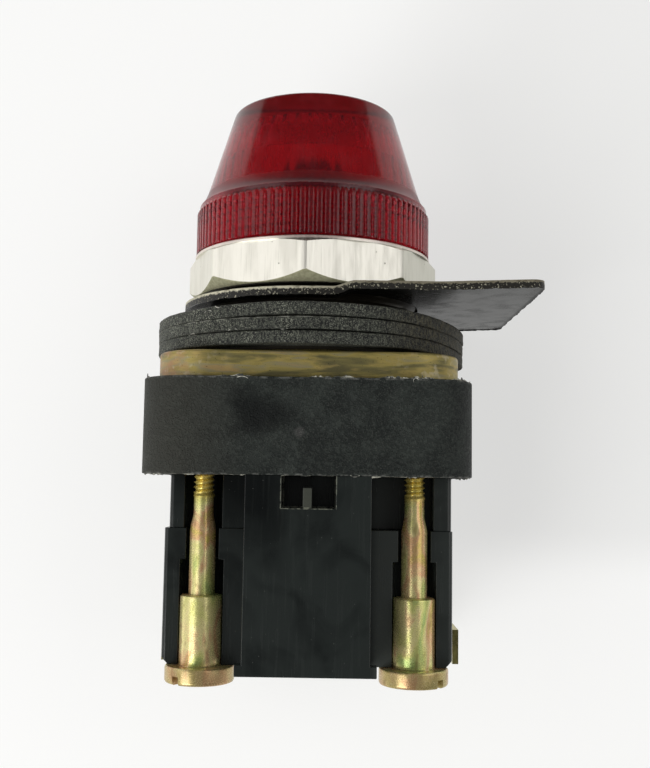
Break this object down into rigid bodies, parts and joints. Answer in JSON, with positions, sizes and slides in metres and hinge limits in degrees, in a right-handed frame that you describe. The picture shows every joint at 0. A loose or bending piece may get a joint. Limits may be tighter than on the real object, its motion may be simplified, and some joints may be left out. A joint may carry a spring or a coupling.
{
  "type": "panel pilot light",
  "caption": "Panel pilot light for a round panel hole: red screw-on lens, ring nut, legend plate, sealing gaskets, square housing and a plug-on transformer module held by long captive screws.",
  "frame": {"origin": "on the lens axis, in the plane where the front gasket meets the back of the panel", "axes": "+Z along the mounting axis towards the lens, +X towards the square end of the legend plate"},
  "size_m": [0.052, 0.0434, 0.0785],
  "materials": {
    "lens_red": "translucent dark red moulding, scuffed",
    "gasket_rubber": "dusty black rubber",
    "nut_metal": "bright turned and brushed",
    "plate_metal": "dull grey, edges rubbed bright",
    "bushing_metal": "yellow chromate on die-cast metal, patchy",
    "housing_plastic": "matt black thermoset moulding, dusty",
    "module_plastic": "glossy black thermoset moulding",
    "screw_zinc": "yellow zinc plate, worn and iridescent",
    "brass": "plain stamped brass",
    "steel": "plain steel",
    "lamp_glass": "clear glass envelope",
    "core_steel": "varnished steel laminations",
    "bobbin_plastic": "natural nylon",
    "copper": "enamelled copper wire under tape"
  },
  "bodies": {
    "main": {"gasket_front": "gasket_rubber", "gasket_middle": "gasket_rubber", "gasket_rear": "gasket_rubber", "bushing": "bushing_metal", "housing": "housing_plastic", "housing_screws": "steel", "screw_inserts": "brass", "lamp_holder": "housing_plastic", "socket_shell": "brass", "shell_contact_strip": "brass", "centre_contact_strip": "brass", "contact_spring": "steel", "module_base": "module_plastic", "module_cover": "module_plastic", "transformer_core": "core_steel", "coil_bobbin": "bobbin_plastic", "primary_winding": "copper", "secondary_winding": "copper", "terminal_left": "brass", "terminal_right": "brass"},
    "plate": {"legend_plate": "plate_metal"},
    "nut": {"ring_nut": "nut_metal"},
    "lens_seal": {"lens_gasket": "gasket_rubber"},
    "lens": {"lens": "lens_red"},
    "lamp": {"lamp_glass": "lamp_glass", "lamp_cap": "brass", "contact_plunger": "brass"},
    "screw_front_left": {"captive_screw_front_left": "screw_zinc"},
    "screw_front_right": {"captive_screw_front_right": "screw_zinc"},
    "screw_back_left": {"captive_screw_back_left": "screw_zinc"},
    "screw_back_right": {"captive_screw_back_right": "screw_zinc"},
    "terminal_clamp_left": {"clamp_plate_left": "screw_zinc", "terminal_screw_left": "screw_zinc"},
    "terminal_clamp_right": {"clamp_plate_right": "screw_zinc", "terminal_screw_right": "screw_zinc"}
  },
  "joints": [
    {"name": "lens_lift", "type": "slide", "parent": "main", "child": "lens_seal", "axis": [0, 0, 1], "range_m": [0, 0.00572]},
    {"name": "lens_turn", "type": "hinge", "parent": "lens_seal", "child": "lens", "pos_m": [0, 0, 0], "axis": [0, 0, 1], "range_deg": [0, 1620]},
    {"name": "nut_travel", "type": "slide", "parent": "main", "child": "plate", "axis": [0, 0, 1], "range_m": [-0.002, 0]},
    {"name": "nut_turn", "type": "hinge", "parent": "plate", "child": "nut", "pos_m": [0, 0, 0], "axis": [0, 0, 1], "range_deg": [-450, 0]},
    {"name": "lamp_push", "type": "slide", "parent": "main", "child": "lamp", "axis": [0, 0, 1], "range_m": [-0.0012, 0], "stiffness_N_per_m": 500, "springref_m": 0.004, "deforming": ["contact_spring"]},
    {"name": "screw_front_left_slide", "type": "slide", "parent": "main", "child": "screw_front_left", "axis": [0, 0, 1], "range_m": [-0.0052, 0]},
    {"name": "screw_front_right_slide", "type": "slide", "parent": "main", "child": "screw_front_right", "axis": [0, 0, 1], "range_m": [-0.0052, 0]},
    {"name": "screw_back_left_slide", "type": "slide", "parent": "main", "child": "screw_back_left", "axis": [0, 0, 1], "range_m": [-0.0052, 0]},
    {"name": "screw_back_right_slide", "type": "slide", "parent": "main", "child": "screw_back_right", "axis": [0, 0, 1], "range_m": [-0.0052, 0]},
    {"name": "terminal_clamp_left_slide", "type": "slide", "parent": "main", "child": "terminal_clamp_left", "axis": [0, 0, 1], "range_m": [0, 0.0036]},
    {"name": "terminal_clamp_right_slide", "type": "slide", "parent": "main", "child": "terminal_clamp_right", "axis": [0, 0, 1], "range_m": [0, 0.0036]}
  ],
  "couplings": [
    {"joint": "lens_lift", "follows": "lens_turn", "m_per_rad": 0.00020213},
    {"joint": "nut_travel", "follows": "nut_turn", "m_per_rad": 0.00025266}
  ]
}
